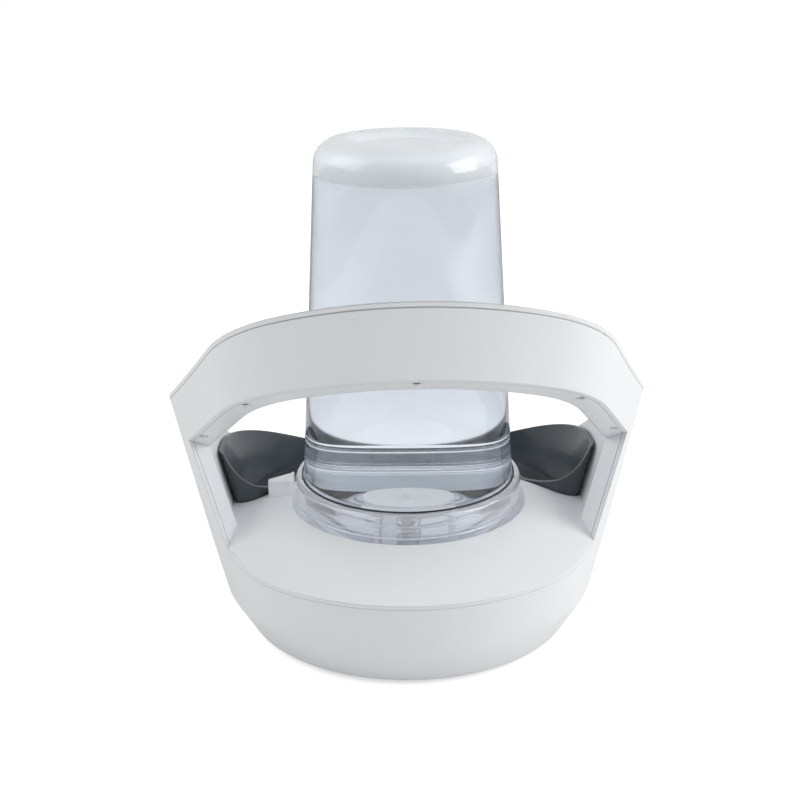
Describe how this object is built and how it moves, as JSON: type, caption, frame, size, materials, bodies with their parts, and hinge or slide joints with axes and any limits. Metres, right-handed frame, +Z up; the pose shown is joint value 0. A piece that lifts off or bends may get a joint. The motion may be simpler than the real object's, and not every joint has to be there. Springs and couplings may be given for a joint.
{
  "type": "pet water fountain",
  "caption": "Pet water fountain with an inverted clear bottle, a white case rising into a hoop handle and a dark crescent drinking bowl.",
  "frame": {"origin": "on the floor under the axis of the bottle", "axes": "+Z up along the bottle's axis, +Y towards the drinking side, -Y towards the handle"},
  "size_m": [0.2764, 0.3017, 0.286],
  "materials": {
    "white_plastic": "satin moulded ABS",
    "dark_plastic": "glossy blue-grey moulded plastic",
    "clear_plastic": "clear polished plastic",
    "black_rubber": "black moulded rubber",
    "grey_rubber": "dark grey soft rubber",
    "steel": "stainless steel",
    "basin_plastic": "matte light grey plastic",
    "pump_plastic": "matte black plastic",
    "impeller_plastic": "pale blue plastic",
    "foam": "open-cell filter foam",
    "carbon": "activated carbon in a fleece pad",
    "lead_pvc": "black PVC cable jacket"
  },
  "bodies": {
    "base": {"outer_shell": "white_plastic", "inner_shell": "white_plastic", "case_screws": "steel", "base_plate": "white_plastic", "feet": "grey_rubber", "base_screws": "steel", "water_basin": "basin_plastic", "basin_gasket": "black_rubber", "basin_screws": "steel", "bottle_cradle": "basin_plastic", "pump_housing": "pump_plastic", "pump_cover": "pump_plastic", "impeller_shaft": "steel", "shaft_bushes": "black_rubber", "pump_foam": "foam", "suction_cups": "black_rubber", "riser_tube": "clear_plastic", "filter_case": "basin_plastic", "filter_foam": "foam", "filter_carbon": "carbon", "filter_lid": "basin_plastic", "power_jack": "pump_plastic", "jack_pin": "steel", "pump_lead": "lead_pvc", "lead_grommet": "black_rubber"},
    "bottle": {"water_bottle": "clear_plastic", "bottle_seal": "black_rubber", "bottle_cap": "clear_plastic", "valve_guide": "basin_plastic"},
    "valve": {"valve_stem": "basin_plastic", "valve_washer": "black_rubber", "valve_spring": "steel"},
    "bowl": {"drinking_bowl": "dark_plastic", "spout_seal": "black_rubber", "spout_nozzle": "basin_plastic", "drain_grate": "basin_plastic"},
    "rotor": {"impeller": "impeller_plastic"}
  },
  "joints": [
    {"name": "bottle_lift", "type": "slide", "parent": "base", "child": "bottle", "axis": [0, 0, 1], "range_m": [0, 0.24]},
    {"name": "valve_travel", "type": "slide", "parent": "bottle", "child": "valve", "axis": [0, 0, 1], "range_m": [0, 0.002], "stiffness_N_per_m": 120, "springref_m": -0.004, "deforming": ["valve_spring"]},
    {"name": "bowl_lift", "type": "slide", "parent": "base", "child": "bowl", "axis": [0, 0, 1], "range_m": [0, 0.1]},
    {"name": "impeller_spin", "type": "hinge", "parent": "base", "child": "rotor", "pos_m": [0.029, 0.076, 0.0359], "axis": [0, 1, 0], "continuous": true}
  ]
}
